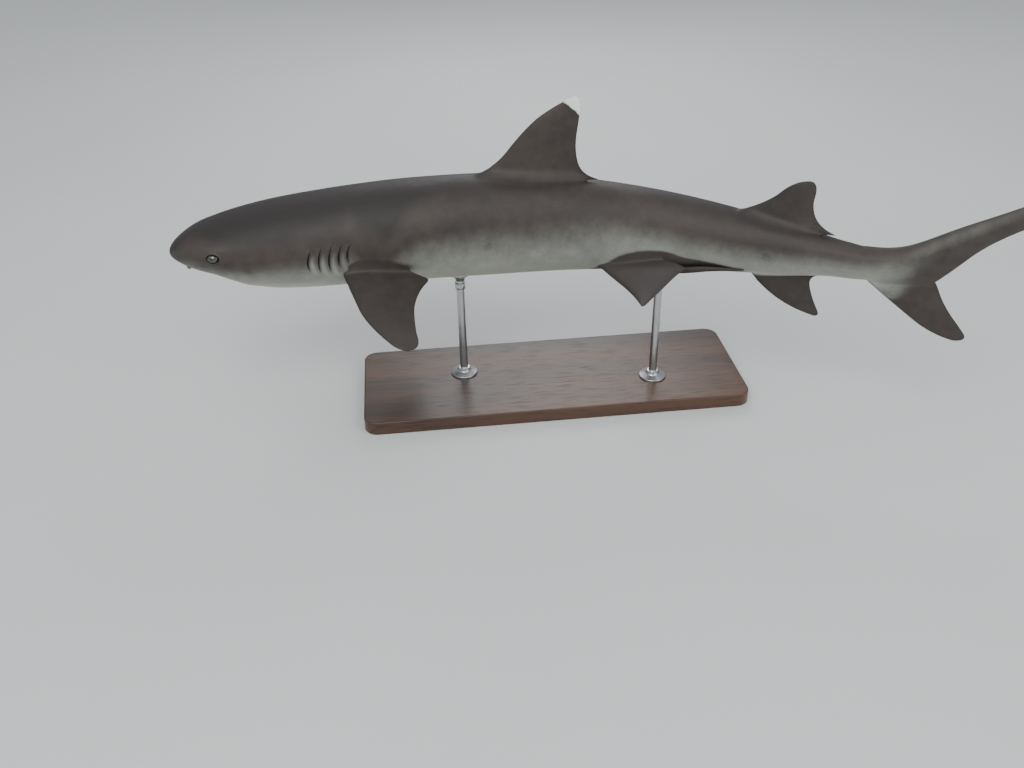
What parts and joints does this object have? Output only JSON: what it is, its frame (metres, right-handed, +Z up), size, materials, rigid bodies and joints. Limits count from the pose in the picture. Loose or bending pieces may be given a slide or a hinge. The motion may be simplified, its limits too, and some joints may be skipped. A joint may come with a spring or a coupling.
{
  "type": "whitetip reef shark",
  "caption": "Life-size adult male whitetip reef shark in a swimming pose, tail swung to its left, with white-tipped first dorsal and tail fins, on a flat wooden base with steel rods.",
  "frame": {"origin": "centre of the display base's underside, on the surface it stands on", "axes": "+Z up, the snout points to -X and the shark's left side faces -Y"},
  "size_m": [1.3614, 0.6265, 0.527],
  "materials": {
    "skin": "satin, grey-brown above fading to off-white below",
    "skin_pale": "satin, pale underside of the head",
    "white_tip": "satin white",
    "eye": "glossy, pale green-grey iris with a vertical slit pupil",
    "stand_wood": "dark stained and satin varnished",
    "stand_steel": "brushed"
  },
  "bodies": {
    "root": {"head": "skin", "lower_jaw": "skin_pale", "eye_left": "eye", "eye_right": "eye", "nasal_flap_left": "skin", "nasal_flap_right": "skin", "neck": "skin", "trunk": "skin", "tail_stalk": "skin", "tail_fin_upper": "skin", "tail_fin_white_tip": "white_tip", "tail_fin_lower": "skin", "first_dorsal_fin": "skin", "first_dorsal_white_tip": "white_tip", "second_dorsal_fin": "skin", "anal_fin": "skin", "pectoral_fin_left": "skin", "pectoral_fin_right": "skin", "pelvic_fin_left": "skin", "pelvic_fin_right": "skin", "clasper_left": "skin", "clasper_right": "skin", "stand_base": "stand_wood", "stand_rod_front": "stand_steel", "stand_rod_rear": "stand_steel", "stand_cup_front": "stand_steel", "stand_cup_rear": "stand_steel"}
  },
  "joints": []
}
